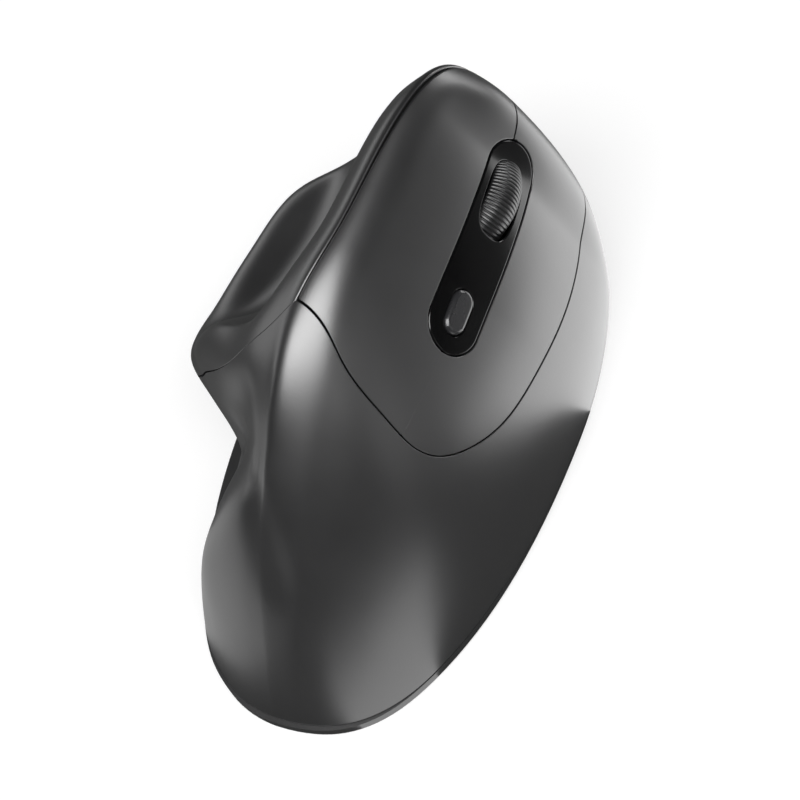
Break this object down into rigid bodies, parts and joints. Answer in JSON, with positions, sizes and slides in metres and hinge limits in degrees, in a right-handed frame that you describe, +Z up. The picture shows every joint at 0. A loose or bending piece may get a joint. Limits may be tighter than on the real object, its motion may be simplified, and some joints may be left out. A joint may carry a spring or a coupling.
{
  "type": "ergonomic mouse",
  "caption": "Vertical right-hand mouse: domed palm shell, sloped click keys, ribbed scroll wheel in a strip, scooped thumb rest with side buttons, battery bay below.",
  "frame": {"origin": "on the desk, under the middle of the body's box", "axes": "+X to the right, towards the click keys; +Y to the front, away from the user's wrist; +Z up"},
  "size_m": [0.0649, 0.1116, 0.063],
  "materials": {
    "shell_plastic": "fine satin moulded texture",
    "thumb_plastic": "satin, faint soft sheen",
    "gloss_insert": "polished black",
    "base_plastic": "spark-eroded texture",
    "foot_pad": "slick low-friction pad",
    "wheel_rubber": "matt with fine ribs",
    "wheel_plastic": "semi gloss",
    "inner_plastic": "moulded, plain",
    "circuit_board": "green solder mask",
    "switch_body": "moulded black",
    "switch_plunger": "white plastic",
    "pin_steel": "turned steel",
    "contact_metal": "nickel plated",
    "clear_lens": "clear moulded lens",
    "cell_jacket": "plain printed-free jacket",
    "lead": "flat white film"
  },
  "bodies": {
    "body": {"palm_shell": "shell_plastic", "thumb_panel": "thumb_plastic", "wheel_strip": "gloss_insert", "base_plate": "base_plastic", "glide_feet": "foot_pad", "door_pin": "pin_steel", "inner_frame": "inner_plastic", "click_board": "circuit_board", "left_switch": "switch_body", "right_switch": "switch_body", "dpi_switch": "switch_body", "wheel_switch": "switch_body", "side_board": "circuit_board", "back_switch": "switch_body", "forward_switch": "switch_body", "main_board": "circuit_board", "sensor_chip": "switch_body", "sensor_lens": "clear_lens", "power_switch": "switch_body", "battery": "cell_jacket", "battery_tray": "inner_plastic", "battery_contact_plus": "contact_metal", "battery_contact_minus": "contact_metal", "case_screws": "pin_steel", "frame_screws": "pin_steel", "board_screws": "pin_steel", "ribbon": "lead"},
    "left_key": {"left_key": "shell_plastic"},
    "right_key": {"right_key": "shell_plastic"},
    "left_plunger": {"left_plunger": "switch_plunger"},
    "right_plunger": {"right_plunger": "switch_plunger"},
    "dpi_button": {"dpi_button": "shell_plastic"},
    "back_button": {"back_button": "shell_plastic"},
    "forward_button": {"forward_button": "shell_plastic"},
    "wheel_cradle": {"wheel_cradle": "inner_plastic", "wheel_encoder": "switch_body"},
    "wheel": {"wheel_hub": "wheel_plastic", "wheel_tyre": "wheel_rubber", "wheel_axle": "pin_steel"},
    "battery_door": {"battery_door": "base_plastic"},
    "power_knob": {"power_knob": "base_plastic"},
    "receiver": {"receiver_plug": "contact_metal", "receiver_cap": "base_plastic"}
  },
  "joints": [
    {"name": "left_key_press", "type": "hinge", "parent": "body", "child": "left_key", "pos_m": [0.00977, -0.00705, 0.05037], "axis": [-0.6157, 0, 0.788], "range_deg": [0, 0.9], "stiffness_Nm_per_rad": 1.6},
    {"name": "right_key_press", "type": "hinge", "parent": "body", "child": "right_key", "pos_m": [0.02314, -0.00705, 0.02909], "axis": [-0.6157, 0, 0.788], "range_deg": [0, 0.9], "stiffness_Nm_per_rad": 1.6},
    {"name": "left_plunger_press", "type": "slide", "parent": "body", "child": "left_plunger", "axis": [-0.788, 0, -0.6157], "range_m": [0, 0.0007]},
    {"name": "right_plunger_press", "type": "slide", "parent": "body", "child": "right_plunger", "axis": [-0.788, 0, -0.6157], "range_m": [0, 0.0007]},
    {"name": "dpi_button_press", "type": "slide", "parent": "body", "child": "dpi_button", "axis": [-0.788, 0, -0.6157], "range_m": [0, 0.0004], "stiffness_N_per_m": 1500},
    {"name": "back_button_press", "type": "slide", "parent": "body", "child": "back_button", "axis": [0.9397, 0, -0.342], "range_m": [0, 0.0005], "stiffness_N_per_m": 1200},
    {"name": "forward_button_press", "type": "slide", "parent": "body", "child": "forward_button", "axis": [0.9397, 0, -0.342], "range_m": [0, 0.0005], "stiffness_N_per_m": 1200},
    {"name": "wheel_click", "type": "slide", "parent": "body", "child": "wheel_cradle", "axis": [-0.788, 0, -0.6157], "range_m": [0, 0.0005], "stiffness_N_per_m": 2500},
    {"name": "wheel_roll", "type": "hinge", "parent": "wheel_cradle", "child": "wheel", "pos_m": [0.00985, 0.03115, 0.03647], "axis": [0.6157, 0, -0.788], "continuous": true},
    {"name": "battery_door_open", "type": "hinge", "parent": "body", "child": "battery_door", "pos_m": [-0.0065, -0.02295, 0.002], "axis": [-1, 0, 0], "range_deg": [0, 95]},
    {"name": "power_knob_slide", "type": "slide", "parent": "body", "child": "power_knob", "axis": [0, 1, 0], "range_m": [0, 0.0025]},
    {"name": "receiver_pull", "type": "slide", "parent": "body", "child": "receiver", "axis": [0, 0, -1], "range_m": [0, 0.014]}
  ],
  "couplings": [
    {"joint": "left_plunger_press", "follows": "left_key_press", "m_per_rad": 0.0426},
    {"joint": "right_plunger_press", "follows": "right_key_press", "m_per_rad": 0.0426}
  ]
}
